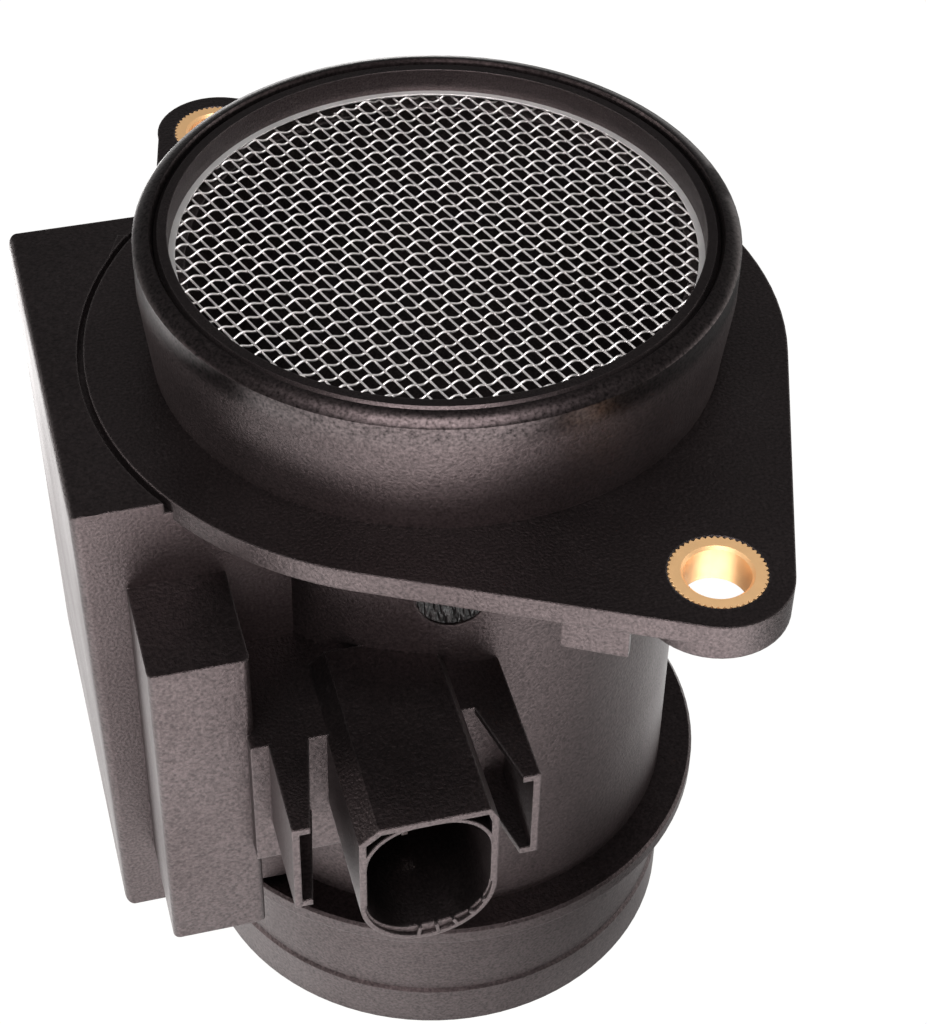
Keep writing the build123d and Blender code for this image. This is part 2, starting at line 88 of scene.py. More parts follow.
# painted contact shade: the sheet is dim within this range of the foot of the sensor
FOOT_CENTRE = (0.045, -0.055, 0.0)
FOOT_RANGE, FOOT_GLOW = (0.015, 0.075), 2.1
FAR_RANGE, FAR_GLOW = (0.118, 0.145), 2.8
OUTER_RANGE, OUTER_GLOW = (0.155, 0.178), 1.2
DUCT_RANGE = (0.030, 0.036)                 # painted shade of the outlet: the sheet is dark under the duct
HORIZON_RANGE = (0.30, 0.60)                # the sheet fades into the plain floor
SIDE_RANGES = ((-0.168, -0.150), (0.125, 0.085))
LEAST_GLOW = 0.15
FLOOR_WHITE = 1.06
FLOOR_GLOW_SHARE = 0.96                     # the rest shows the shadow

# what the plastic mirrors from the sides and from above
FRONT_HORIZON = (0.5, 0.47, 0.47, 1.0)
SIDE_HORIZON = (1.6, 1.55, 1.5, 1.0)
BACK_HORIZON = (0.22, 0.22, 0.22, 1.0)
DARK_CEILING = (0.12, 0.12, 0.12, 1.0)
ROOM_LIGHT = (0.10, 0.10, 0.10, 1.0)
WHITE = (1.0, 1.0, 1.0, 1.0)

# ---------------------------------------------------------------- helpers: objects


def pick(*objects):
    """Selects these objects alone, and makes the first one active."""
    if bpy.context.object and bpy.context.object.mode != "OBJECT":
        bpy.ops.object.mode_set(mode="OBJECT")
    bpy.ops.object.select_all(action="DESELECT")
    for item in objects:
        item.select_set(True)
    bpy.context.view_layer.objects.active = objects[0]


def settle(item):
    """Puts an object's place, turn and scale into its mesh."""
    pick(item)
    bpy.ops.object.transform_apply(location=True, rotation=True, scale=True)


def apply_all(item):
    """Applies every modifier of an object, in order."""
    pick(item)
    for modifier in list(item.modifiers):
        bpy.ops.object.modifier_apply(modifier=modifier.name)


def select_vertices(item, test):
    """Selects, in edit mode, the vertices whose place passes the test."""
    bpy.ops.object.mode_set(mode="EDIT")
    bpy.ops.mesh.select_all(action="DESELECT")
    bpy.ops.object.mode_set(mode="OBJECT")
    for vertex in item.data.vertices:
        vertex.select = test(vertex.co)
    bpy.ops.object.mode_set(mode="EDIT")


def merged_copy(node, name):
    """A copy of a CAD node with its loose triangles joined into one smooth skin."""
    item = NODES[node].copy()
    item.data = NODES[node].data.copy()
    for key in list(item.keys()):
        del item[key]
    item.name = item.data.name = name
    item.parent = None
    bpy.context.scene.collection.objects.link(item)
    pick(item)
    bpy.ops.mesh.customdata_custom_splitnormals_clear()
    bpy.ops.object.mode_set(mode="EDIT")
    bpy.ops.mesh.select_all(action="SELECT")
    bpy.ops.mesh.remove_doubles(threshold=MERGE)
    bpy.ops.object.mode_set(mode="OBJECT")
    bpy.ops.object.shade_smooth_by_angle(angle=SKIN_SMOOTHING)
    return item


def dress(item, material):
    """Gives an object one material all over."""
    item.data.materials.clear()
    item.data.materials.append(material)


# ---------------------------------------------------------------- helpers: shader nodes


def new_group(name, inputs, outputs):
    """A shader node group; inputs are (name, kind, default) and outputs (name, kind)."""
    group = bpy.data.node_groups.new(name, "ShaderNodeTree")
    for socket_name, kind, default in inputs:
        socket = group.interface.new_socket(socket_name, in_out="INPUT", socket_type=kind)
        socket.default_value = default
    for socket_name, kind in outputs:
        group.interface.new_socket(socket_name, in_out="OUTPUT", socket_type=kind)
    return group, group.nodes.new("NodeGroupInput"), group.nodes.new("NodeGroupOutput")


def math_node(tree, operation, first, second=None, third=None, clamp=False):
    """A Math node fed with sockets or numbers; returns its output."""
    node = tree.nodes.new("ShaderNodeMath")
    node.operation = operation
    node.use_clamp = clamp
    for socket, value in zip(node.inputs, (first, second, third)):
        if value is None:
            continue
        if isinstance(value, bpy.types.NodeSocket):
            tree.links.new(value, socket)
        else:
            socket.default_value = value
    return node.outputs[0]


def ramp(tree, source, low, high):
    """Stretches the range low to high of a value to 0 to 1."""
    node = tree.nodes.new("ShaderNodeMapRange")
    tree.links.new(source, node.inputs["Value"])
    node.inputs["From Min"].default_value = low
    node.inputs["From Max"].default_value = high
    return node.outputs["Result"]


def distance(tree, source, point):
    """Distance of a position from a fixed point."""
    node = tree.nodes.new("ShaderNodeVectorMath")
    node.operation = "DISTANCE"
    tree.links.new(source, node.inputs[0])
    node.inputs[1].default_value = point
    return node.outputs["Value"]


def mix_colour(tree, factor, first, second):
    """Mixes two colours, each a socket or a colour."""
    node = tree.nodes.new("ShaderNodeMix")
    node.data_type = "RGBA"
    tree.links.new(factor, node.inputs["Factor"])
    for socket, value in ((node.inputs[6], first), (node.inputs[7], second)):
        if isinstance(value, bpy.types.NodeSocket):
            tree.links.new(value, socket)
        else:
            socket.default_value = value
    return node.outputs[2]


def noise(tree, coordinates, scale, detail=2.0):
    """Noise texture on the given coordinates."""
    node = tree.nodes.new("ShaderNodeTexNoise")
    tree.links.new(coordinates, node.inputs["Vector"])
    node.inputs["Scale"].default_value = scale
    node.inputs["Detail"].default_value = detail
    return node.outputs["Fac"]


def moulded_grain_group():
    """Fine grain of glass-filled plastic: a height, a speckle mask and slow blotches."""
    group, ends_in, ends_out = new_group(
        "Moulded grain",
        [("Grain size", "NodeSocketFloat", 0.35), ("Speckle amount", "NodeSocketFloat", 0.5)],
        [("Height", "NodeSocketFloat"), ("Speckle", "NodeSocketFloat"),
         ("Blotch", "NodeSocketFloat")],
    )
    place = group.nodes.new("ShaderNodeTexCoord").outputs["Object"]
    scale = math_node(group, "DIVIDE", 1000.0, ends_in.outputs["Grain size"])
    fine = group.nodes.new("ShaderNodeTexNoise")
    group.links.new(place, fine.inputs["Vector"])
    group.links.new(scale, fine.inputs["Scale"])
    fine.inputs["Detail"].default_value = 3.0
    group.links.new(fine.outputs["Fac"], ends_out.inputs["Height"])
    flakes = group.nodes.new("ShaderNodeTexVoronoi")
    group.links.new(place, flakes.inputs["Vector"])
    group.links.new(scale, flakes.inputs["Scale"])
    split = group.nodes.new("ShaderNodeSeparateColor")
    group.links.new(flakes.outputs["Color"], split.inputs["Color"])
    level = math_node(group, "SUBTRACT", 1.0, ends_in.outputs["Speckle amount"])
    above = math_node(group, "SUBTRACT", split.outputs["Red"], level)
    speckle = math_node(group, "MULTIPLY", above, 4.0, clamp=True)
    group.links.new(speckle, ends_out.inputs["Speckle"])
    blotch = ramp(group, noise(group, place, 60.0, 3.0), 0.3, 0.7)
    group.links.new(blotch, ends_out.inputs["Blotch"])
    return group


def rounded_edge_group():
    """Rounds outer edges by a small radius, and masks them for a lighter rubbed colour, partly real
    wear and partly a painted highlight.
    """
    group, ends_in, ends_out = new_group(
        "Rounded edge",
        [("Radius", "NodeSocketFloat", 0.4 * MM)],
        [("Normal", "NodeSocketVector"), ("Edge", "NodeSocketFloat")],
    )
    bevel = group.nodes.new("ShaderNodeBevel")
    bevel.samples = 4
    group.links.new(ends_in.outputs["Radius"], bevel.inputs["Radius"])
    flat = group.nodes.new("ShaderNodeNewGeometry").outputs["Normal"]
    dot = group.nodes.new("ShaderNodeVectorMath")
    dot.operation = "DOT_PRODUCT"
    group.links.new(bevel.outputs["Normal"], dot.inputs[0])
    group.links.new(flat, dot.inputs[1])
    turn = math_node(group, "SUBTRACT", 1.0, dot.outputs["Value"])
    # rays into the material meet the neighbouring face only at an outer edge
    within = group.nodes.new("ShaderNodeAmbientOcclusion")
    within.inside = True
    within.only_local = True
    within.samples = 2
    within.inputs["Distance"].default_value = EDGE_PROBE
    outer = math_node(group, "SUBTRACT", 1.0, within.outputs["AO"])
    blend = group.nodes.new("ShaderNodeMix")
    blend.data_type = "VECTOR"
    taken = math_node(group, "MULTIPLY", outer, ROUNDING_GAIN, clamp=True)
    group.links.new(taken, blend.inputs["Factor"])
    group.links.new(flat, blend.inputs[4])
    group.links.new(bevel.outputs["Normal"], blend.inputs[5])
    group.links.new(blend.outputs[1], ends_out.inputs["Normal"])
    turned = math_node(group, "MULTIPLY", turn, outer)
    # edge mask for the lighter rubbed colour: partly real wear, partly a painted highlight
    wear_and_highlight = math_node(group, "MULTIPLY", turned, WEAR_GAIN, clamp=True)
    group.links.new(wear_and_highlight, ends_out.inputs["Edge"])
    return group


def place_group(tree, name, **values):
    """Places a node group in a material, with its own values."""
    node = tree.nodes.new("ShaderNodeGroup")
    node.node_tree = bpy.data.node_groups[name]
    for key, value in values.items():
        node.inputs[key.replace("_", " ")].default_value = value
    return node


def surface(name, colour, roughness, metallic=0.0, specular=0.5):
    """A material with plain numbers on its shader; returns the material, its tree and shader."""
    material = bpy.data.materials.new(name)
    material.use_nodes = True
    tree = material.node_tree
    shader = tree.nodes["Principled BSDF"]
    shader.inputs["Base Color"].default_value = (*colour, 1.0)
    shader.inputs["Roughness"].default_value = roughness
    shader.inputs["Metallic"].default_value = metallic
    shader.inputs["Specular IOR Level"].default_value = specular
    return material, tree, shader


def moulded_plastic(name, colour, fleck, roughness, grain, speckle, bump, edge, specular=0.5,
                    joint=None, lip_height=NO_LIP):
    """Satin glass-filled plastic: textured walls, smoother flats, edges left sharp at a joint."""
    material, tree, shader = surface(name, colour, roughness, specular=specular)
    grained = place_group(tree, "Moulded grain", Grain_size=grain, Speckle_amount=speckle)
    edges = place_group(tree, "Rounded edge")
    place = tree.nodes.new("ShaderNodeSeparateXYZ")
    tree.links.new(tree.nodes.new("ShaderNodeTexCoord").outputs["Object"], place.inputs[0])
    normal = tree.nodes.new("ShaderNodeSeparateXYZ")
    tree.links.new(tree.nodes.new("ShaderNodeNewGeometry").outputs["Normal"], normal.inputs[0])
    flat = ramp(tree, math_node(tree, "ABSOLUTE", normal.outputs["Z"]), 0.3, 0.8)

    # the rolled lip is smooth, and needs no rounded edge
    lip = ramp(tree, place.outputs["Z"], lip_height, lip_height + LIP_BLEND)
    below_lip = math_node(tree, "SUBTRACT", 1.0, lip)
    radius = math_node(tree, "MULTIPLY", below_lip, edge * MM)
    if joint is not None:
        gap = math_node(tree, "ABSOLUTE", math_node(tree, "SUBTRACT", place.outputs["X"], joint))
        radius = math_node(tree, "MULTIPLY", ramp(tree, gap, *JOINT_GAP), radius)
    tree.links.new(radius, edges.inputs["Radius"])

    # colour: glass flecks, and rubbed edges lightened partly by real wear and partly as a painted
    # highlight
    flecked = mix_colour(tree, grained.outputs["Speckle"], (*colour, 1.0), (*fleck, 1.0))
    wear_and_highlight = math_node(tree, "MULTIPLY", edges.outputs["Edge"], WEAR_AND_HIGHLIGHT_SHARE)
    tree.links.new(mix_colour(tree, wear_and_highlight, flecked, WEAR_AND_HIGHLIGHT_COLOUR), shader.inputs["Base Color"])

    # sheen: follows the grain, and is weaker on the lip
    shader.inputs["Specular Tint"].default_value = SHEEN_TINT
    uneven = math_node(tree, "SUBTRACT", grained.outputs["Height"], 0.5)
    glitter = math_node(tree, "MULTIPLY", uneven, GLITTER * specular)
    dulled = math_node(tree, "MULTIPLY", lip, LIP_DULLING * specular)
    sheen = math_node(tree, "SUBTRACT", specular, dulled)
    tree.links.new(math_node(tree, "ADD", glitter, sheen), shader.inputs["Specular IOR Level"])

    # roughness: slow blotches, smoother flats and lip, burnished edges
    cloudy = math_node(tree, "MULTIPLY", grained.outputs["Blotch"], BLOTCH_ROUGHNESS)
    level = math_node(tree, "MAXIMUM", flat, lip)
    smooth = math_node(tree, "MULTIPLY", level, FLAT_ROUGHNESS)
    rough = math_node(
        tree, "ADD", math_node(tree, "ADD", cloudy, smooth), roughness - BLOTCH_ROUGHNESS / 2)
    burnished = math_node(tree, "MULTIPLY", edges.outputs["Edge"], EDGE_POLISH)
    tree.links.new(math_node(tree, "SUBTRACT", rough, burnished), shader.inputs["Roughness"])

    relief = tree.nodes.new("ShaderNodeBump")
    tree.links.new(math_node(tree, "MULTIPLY", below_lip, bump), relief.inputs["Strength"])
    relief.inputs["Distance"].default_value = RELIEF_DEPTH
    tree.links.new(grained.outputs["Height"], relief.inputs["Height"])
    tree.links.new(edges.outputs["Normal"], relief.inputs["Normal"])
    tree.links.new(relief.outputs["Normal"], shader.inputs["Normal"])
    return material


def scratched_plastic(name, colour):
    """Plastic with short deep strokes at all angles, as a coarse tool leaves them."""
    material, tree, shader = surface(name, colour, 0.45, specular=0.8)
    place = tree.nodes.new("ShaderNodeTexCoord").outputs["Object"]
    stretch = tree.nodes.new("ShaderNodeMapping")
    stretch.inputs["Rotation"].default_value = (0.0, math.radians(35.0), 0.0)
    stretch.inputs["Scale"].default_value = (1.0, 1.0, 0.3)
    tree.links.new(place, stretch.inputs["Vector"])
    strokes = noise(tree, stretch.outputs["Vector"], 1600.0, 1.0)
    relief = tree.nodes.new("ShaderNodeBump")
    relief.inputs["Strength"].default_value = 1.0
    relief.inputs["Distance"].default_value = 0.6 * MM
    tree.links.new(ramp(tree, strokes, 0.35, 0.65), relief.inputs["Height"])
    tree.links.new(relief.outputs["Normal"], shader.inputs["Normal"])
    shine = ramp(tree, strokes, 0.45, 0.60)
    scraped = mix_colour(tree, shine, (*colour, 1.0), (0.035, 0.031, 0.031, 1.0))
    tree.links.new(scraped, shader.inputs["Base Color"])
    return material


def bright_metal(name, colour, roughness, streak=400.0, metallic=1.0):
    """Plain metal with soft uneven polish."""
    material, tree, shader = surface(name, colour, roughness, metallic=metallic)
    place = tree.nodes.new("ShaderNodeTexCoord").outputs["Object"]
    uneven = math_node(tree, "MULTIPLY", noise(tree, place, streak), POLISH_SPREAD)
    rough = math_node(tree, "ADD", uneven, roughness - POLISH_SPREAD / 2)
    tree.links.new(rough, shader.inputs["Roughness"])
    edges = place_group(tree, "Rounded edge", Radius=0.1 * MM)
    tree.links.new(edges.outputs["Normal"], shader.inputs["Normal"])
    return material


# ---------------------------------------------------------------- settings


class AirflowScreenSettings(bpy.types.PropertyGroup):
    """Sizes of the woven screen."""
    wire: bpy.props.FloatProperty(
        name="Wire diameter", description="Thickness of every wire, mm", default=0.31, min=0.1)
    warp_pitch: bpy.props.FloatProperty(
        name="Warp pitch", description="Spacing of the straight wires, mm",
        default=1.68, min=0.5)
    weft_pitch: bpy.props.FloatProperty(
        name="Weft pitch", description="Spacing of the arched wires, mm",
        default=2.08, min=0.5)
    turn: bpy.props.FloatProperty(
        name="Weave angle", description="Direction of the arched wires round the duct axis",
        default=math.radians(18.0), subtype="ANGLE")
    skew: bpy.props.FloatProperty(
        name="Weave skew", description="Angle from the arched wires to the straight ones",
        default=math.radians(-87.8), subtype="ANGLE")
    crimp: bpy.props.FloatProperty(
        name="Weft crimp", description="Height of the arches, mm", default=0.29, min=0.0)
    trim: bpy.props.FloatProperty(
        name="Trim radius", description="Radius at which the wires end under the rim, mm",
        default=33.2)


class AirflowDiscSettings(bpy.types.PropertyGroup):
    """Place and size of the rough disc in the round recess."""
    bearing: bpy.props.FloatProperty(
        name="Bearing", description="Direction round the duct axis",
        default=math.radians(-101.0), subtype="ANGLE")
    reach: bpy.props.FloatProperty(
        name="Reach", description="Distance of its back from the duct axis, mm",
        default=33.1, min=0.0)
    height: bpy.props.FloatProperty(
        name="Height", description="Height of its centre, mm", default=86.5)
    radius: bpy.props.FloatProperty(
        name="Radius", description="Radius, mm", default=4.3, min=0.5)
    thickness: bpy.props.FloatProperty(
        name="Thickness", description="Thickness, mm", default=0.25, min=0.05)


class AirflowInsertSettings(bpy.types.PropertyGroup):
    """Sizes of the brass inserts."""
    teeth: bpy.props.IntProperty(
        name="Knurl teeth", description="Teeth round the rim of each insert",
        default=48, min=12)
    tooth_depth: bpy.props.FloatProperty(
        name="Tooth depth", description="Depth of the knurl, mm", default=0.42, min=0.0)
    bore_bevel: bpy.props.FloatProperty(
        name="Bore bevel", description="Width of the bevel at the mouth of the bore, mm",
        default=0.35)


class AirflowFinishSettings(bpy.types.PropertyGroup):
    """Colours of the finishes."""
    plastic: bpy.props.FloatVectorProperty(
        name="Plastic", description="Base colour of the moulded housing",
        subtype="COLOR", default=(0.0024, 0.0021, 0.0021), min=0.0, max=1.0)
    fleck: bpy.props.FloatVectorProperty(
        name="Fleck", description="Colour of the fine glass speckle in the plastic",
        subtype="COLOR", default=(0.020, 0.017, 0.017), min=0.0, max=1.0)
    brass: bpy.props.FloatVectorProperty(
        name="Brass", description="Colour of the turned face of the inserts",
        subtype="COLOR", default=(0.95, 0.58, 0.28), min=0.0, max=1.0)
    wire: bpy.props.FloatVectorProperty(
        name="Wire", description="Colour of the screen wire",
        subtype="COLOR", default=(0.95, 0.91, 0.90), min=0.0, max=1.0)


# ---------------------------------------------------------------- operators


class AIRFLOW_OT_materials(bpy.types.Operator):
    """Makes the shared finishes."""
    bl_idname = "airflow.materials"
    bl_label = "Make finishes"

    def execute(self, context):
        colours = context.scene.airflow_finish
        moulded_grain_group()
        rounded_edge_group()
        black, fleck = tuple(colours.plastic), tuple(colours.fleck)
        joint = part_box("electronics_cover")[0].x + COVER_THICKNESS
        for name in ("Housing plastic", "Cover plastic"):
            moulded_plastic(name, black, fleck, 0.50, 0.40, 0.06, 0.75, 0.45, 0.8,
                            joint=joint, lip_height=LIP_HEIGHT)
        moulded_plastic("Retainer plastic", black, fleck, 0.45, 0.22, 0.05, 0.3, 0.20, 0.7)
        moulded_plastic("Arm plastic", (0.02, 0.02, 0.02), fleck, 0.40, 0.30, 0.08, 0.4, 0.20)
        scratched_plastic("Rough plastic", black)
        bright_metal("Screen wire", tuple(colours.wire), 0.50)
        bright_metal("Rim metal", (0.92, 0.89, 0.88), 0.42, metallic=0.8)
        bright_metal("Turned brass", tuple(colours.brass), 0.42, streak=900.0, metallic=0.55)
        bright_metal("Tinned copper", (0.74, 0.73, 0.70), 0.3)
        bright_metal("Plate aluminium", (0.70, 0.70, 0.72), 0.45)
        surface("Silicone", (0.35, 0.12, 0.08), 0.6)
        surface("Chip body", (0.03, 0.03, 0.03), 0.55)
        surface("Capacitor ceramic", (0.42, 0.30, 0.18), 0.45)
        surface("Sensor ceramic", (0.80, 0.78, 0.74), 0.5)
        surface("Bead glass", (0.35, 0.20, 0.10), 0.15)
        surface("Board ceramic", (0.80, 0.78, 0.72), 0.5)
        return {"FINISHED"}


class AIRFLOW_OT_housing(bpy.types.Operator):
    """Skins the moulded housing, cover and retaining ring with smooth meshes."""
    bl_idname = "airflow.housing"
    bl_label = "Finish moulded parts"

    def execute(self, context):
        for node, name, material, slot in (
            ("housing", "moulded_housing", "Housing plastic", "housing_plastic"),
            ("electronics_cover", "box_cover", "Cover plastic", "cover_plastic"),
            ("screen_retainer", "retaining_ring", "Retainer plastic", "retainer_plastic"),
            ("screen_rim", "rim_band", "Rim metal", "rim_metal"),
        ):
            item = merged_copy(node, name)
            dress(item, bpy.data.materials[material])
            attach(item, "root")
            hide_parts(node)
        # bare rough disc at the foot of the round recess below the flange
        spot = context.scene.airflow_disc
        out = Vector((math.cos(spot.bearing), math.sin(spot.bearing), 0))
        up = Vector((0, 0, 1))
        bpy.ops.object.select_all(action="DESELECT")
        bpy.ops.mesh.primitive_cylinder_add(
            vertices=DISC_SIDES, radius=spot.radius * MM, depth=spot.thickness * MM,
            location=out * (spot.reach + spot.thickness / 2) * MM + up * spot.height * MM,
            rotation=(0, math.pi / 2, spot.bearing))
        disc = bpy.context.object
        disc.name = disc.data.name = "rough_disc"
        settle(disc)
        dress(disc, bpy.data.materials["Rough plastic"])
        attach(disc, "root")
        return {"FINISHED"}


def wave(name, length, steps, crest, radius):
    """One full wave of a crimped wire along X, made by extruding a ring step by step."""
    bpy.ops.object.select_all(action="DESELECT")
    bpy.ops.mesh.primitive_circle_add(
        vertices=WIRE_SIDES, radius=radius, fill_type="NOTHING", location=(0, 0, crest),
        rotation=(0, math.pi / 2, 0))
    item = bpy.context.object
    item.name = item.data.name = name
    settle(item)
    bpy.ops.object.mode_set(mode="EDIT")
    bpy.ops.mesh.select_all(action="SELECT")
    lean = 0.0
    for step in range(1, steps + 1):
        angle = 2 * math.pi * step / steps
        before = 2 * math.pi * (step - 1) / steps
        rise = crest * (math.cos(angle) - math.cos(before))
        bpy.ops.mesh.extrude_edges_move(
            TRANSFORM_OT_translate={"value": (length / steps, 0, rise)})
        slope = -crest * math.sin(angle) * 2 * math.pi / length
        tilt = -math.atan(slope)
        centre = (length * step / steps, 0, crest * math.cos(angle))
        bpy.ops.transform.rotate(value=-(tilt - lean), orient_axis="Y", center_override=centre)
        lean = tilt
    bpy.ops.object.mode_set(mode="OBJECT")
    return item


def wire_field(item, length, waves, pitch, rows):
    """Arrays one wave into a long wire, and the wire into rows."""
    pick(item)
    along = item.modifiers.new("Along", "ARRAY")
    along.use_relative_offset = False
    along.use_constant_offset = True
    along.constant_offset_displace = (length, 0, 0)
    along.count = waves
    along.use_merge_vertices = True
    along.merge_threshold = 0.02 * MM
    across = item.modifiers.new("Across", "ARRAY")
    across.use_relative_offset = False
    across.use_constant_offset = True
    across.constant_offset_displace = (0, pitch, 0)
    across.count = rows
    apply_all(item)


class AIRFLOW_OT_screen(bpy.types.Operator):
    """Weaves the wire screen of the inlet."""
    bl_idname = "airflow.screen"
    bl_label = "Weave inlet screen"

    def execute(self, context):
        sizes = context.scene.airflow_screen
        low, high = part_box("inlet_screen")
        level = (low.z + high.z) / 2
        radius = sizes.wire / 2 * MM
        warp, weft = sizes.warp_pitch * MM, sizes.weft_pitch * MM
        weft_height = sizes.crimp * MM
        warp_height = sizes.wire * MM - weft_height
        trim = sizes.trim * MM
        fields = []
        # each field: wave length, pitch, crest height, turn of the wires, steps in a wave
        for label, length, pitch, crest, turn, steps in (
            ("Weft", 2 * warp, weft, weft_height, sizes.turn, 8),
            ("Warp", 2 * weft, warp, -warp_height, sizes.turn + sizes.skew, 6),
        ):
            waves = math.ceil(trim / length) * 2
            rows = math.ceil(trim / (2 * pitch)) * 2 + 1
            for odd in (0, 1):
                item = wave(f"{label} {odd}", length, steps, crest, radius)
                wire_field(item, length, waves, 2 * pitch, rows)
                item.location = (
                    -waves * length / 2 + odd * length / 2,
                    -(rows - 1) * pitch + odd * pitch,
                    0,
                )
                settle(item)
                item.rotation_euler = (0, 0, turn)
                settle(item)
                fields.append(item)
        pick(*fields)
        bpy.ops.object.join()
        screen = bpy.context.object
        screen.name = screen.data.name = "woven_screen"
        select_vertices(screen, lambda co: co.x * co.x + co.y * co.y > trim * trim)
        bpy.ops.mesh.delete(type="VERT")
        bpy.ops.mesh.select_mode(type="EDGE")
        bpy.ops.mesh.select_all(action="DESELECT")
        bpy.ops.mesh.select_non_manifold()
        bpy.ops.mesh.fill_holes(sides=0)
        bpy.ops.mesh.select_all(action="SELECT")
        bpy.ops.mesh.normals_make_consistent(inside=False)
        bpy.ops.object.mode_set(mode="OBJECT")
        bpy.ops.object.shade_smooth_by_angle(angle=WIRE_SMOOTHING)
        screen.location = (0, 0, level)
        settle(screen)
        dress(screen, bpy.data.materials["Screen wire"])
        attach(screen, "root")
        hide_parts("inlet_screen")
        return {"FINISHED"}


class AIRFLOW_OT_inserts(bpy.types.Operator):
    """Turns and knurls the two brass inserts of the flange."""
    bl_idname = "airflow.inserts"
    bl_label = "Make brass inserts"

    def execute(self, context):
        sizes = context.scene.airflow_inserts
        teeth = sizes.teeth
        bore, bevel = INSERT_BORE_RADIUS, sizes.bore_bevel * MM
        for node, name in (
            ("insert_front", "front_brass_insert"),
            ("insert_rear", "rear_brass_insert"),
        ):
            low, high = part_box(node)
            centre = (low + high) / 2
            outer = (high.x - low.x) / 2 + INSERT_OVERLAP
            depth = high.z - low.z
            bpy.ops.object.select_all(action="DESELECT")
            bpy.ops.mesh.primitive_circle_add(
                vertices=teeth * 2, radius=bore, fill_type="NOTHING", location=(0, 0, 0))
            insert = bpy.context.object
            insert.name = insert.data.name = name
            bpy.ops.object.mode_set(mode="EDIT")
            bpy.ops.mesh.select_all(action="SELECT")
            # the section, followed from the foot of the bore round to the foot again
            radius = bore
            for rise, reach in (
                (depth - bevel, bore),
                (bevel, bore + bevel),
                (0, outer),
                (-depth, outer),
                (0, bore),
            ):
                bpy.ops.mesh.extrude_edges_move(TRANSFORM_OT_translate={"value": (0, 0, rise)})
                scale = reach / radius
                bpy.ops.transform.resize(value=(scale, scale, 1), center_override=(0, 0, 0))
                radius = reach
            bpy.ops.mesh.select_all(action="SELECT")
            bpy.ops.mesh.remove_doubles(threshold=MERGE)
            bpy.ops.mesh.normals_make_consistent(inside=False)
            bpy.ops.object.mode_set(mode="OBJECT")
            # every second point of the rim moves in, which leaves the knurl
            for vertex in insert.data.vertices:
                step = round(math.atan2(vertex.co.y, vertex.co.x) / math.pi * teeth)
                if vertex.co.xy.length > (outer + bore) / 2 and step % 2:
                    vertex.co.xy *= 1 - sizes.tooth_depth * MM / outer
            bpy.ops.object.shade_smooth_by_angle(angle=BRASS_SMOOTHING)
            insert.location = (centre.x, centre.y, low.z)
            settle(insert)
            dress(insert, bpy.data.materials["Turned brass"])
            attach(insert, "root")
            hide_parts(node)
        return {"FINISHED"}


class AIRFLOW_OT_internals(bpy.types.Operator):
    """Finishes the electronics, the terminals and the sensing arm."""
    bl_idname = "airflow.internals"
    bl_label = "Finish internals"

    def execute(self, context):
        finishes = {
            "cover_seal": "Silicone", "arm_seal": "Silicone", "base_plate": "Plate aluminium",
            "circuit_board": "Board ceramic", "control_chip": "Chip body",
            "voltage_regulator": "Chip body", "resistors": "Chip body",
            "filter_capacitors": "Capacitor ceramic", "terminal_bonds": "Tinned copper",
            "arm_bonds": "Tinned copper", "hot_film_element": "Sensor ceramic",
            "air_temperature_element": "Bead glass", "sensing_arm": "Arm plastic",
            "arm_cover": "Arm plastic",
        }
        for number in range(1, 6):
            finishes[f"terminal_{number}"] = "Tinned copper"
        for node, material in finishes.items():
            dress(NODES[node], bpy.data.materials[material])
        return {"FINISHED"}


class AIRFLOW_OT_stage(bpy.types.Operator):
    """Sets up the pale floor, the soft lights, the world and the camera."""
    bl_idname = "airflow.stage"
    bl_label = "Set the stage"

    def execute(self, context):
        scene = context.scene
        scene.view_settings.view_transform = "Standard"
        make_floor()
        make_world(scene)
        for name, place, target, size, power, colour in (
            ("Front lamp", (-0.35, -0.75, 0.16), (0, 0, 0.06), (0.5, 0.35), 1.4, (1, 0.93, 0.93)),
            ("Left lamp", (-0.80, 0.05, 0.18), (0, 0, 0.06), (0.5, 0.40), 1.2, (1, 0.96, 0.95)),
            ("Top lamp", (-0.10, -0.30, 0.75), (0, 0, 0.1), (0.5, 0.5), 7.0, (1, 1, 1)),
            ("Right lamp", (0.75, -0.10, 0.20), (0, 0, 0.06), (0.35, 0.35), 0.5, (1, 0.98, 0.96)),
        ):
            soft_lamp(name, place, target, size, power, colour)
        make_camera(scene)
        return {"FINISHED"}


def soft_lamp(name, place, target, size, power, colour):
    """A rectangular soft lamp at a place, turned to a target."""
    data = bpy.data.lights.new(name, "AREA")
    data.shape = "RECTANGLE"
    data.size, data.size_y = size
    data.energy = power
    data.color = colour
    lamp = bpy.data.objects.new(name, data)
    bpy.context.scene.collection.objects.link(lamp)
    lamp.location = place
    lamp.rotation_mode = "QUATERNION"
    lamp.rotation_quaternion = (Vector(target) - Vector(place)).to_track_quat("-Z", "Y")
    lamp.visible_camera = False


def seen_directly(tree, path):
    """1 for what the eye sees itself, also through an opening, and 0 for what is reflected."""
    return math_node(
        tree, "MAXIMUM", path.outputs["Is Camera Ray"], path.outputs["Is Transmission Ray"])


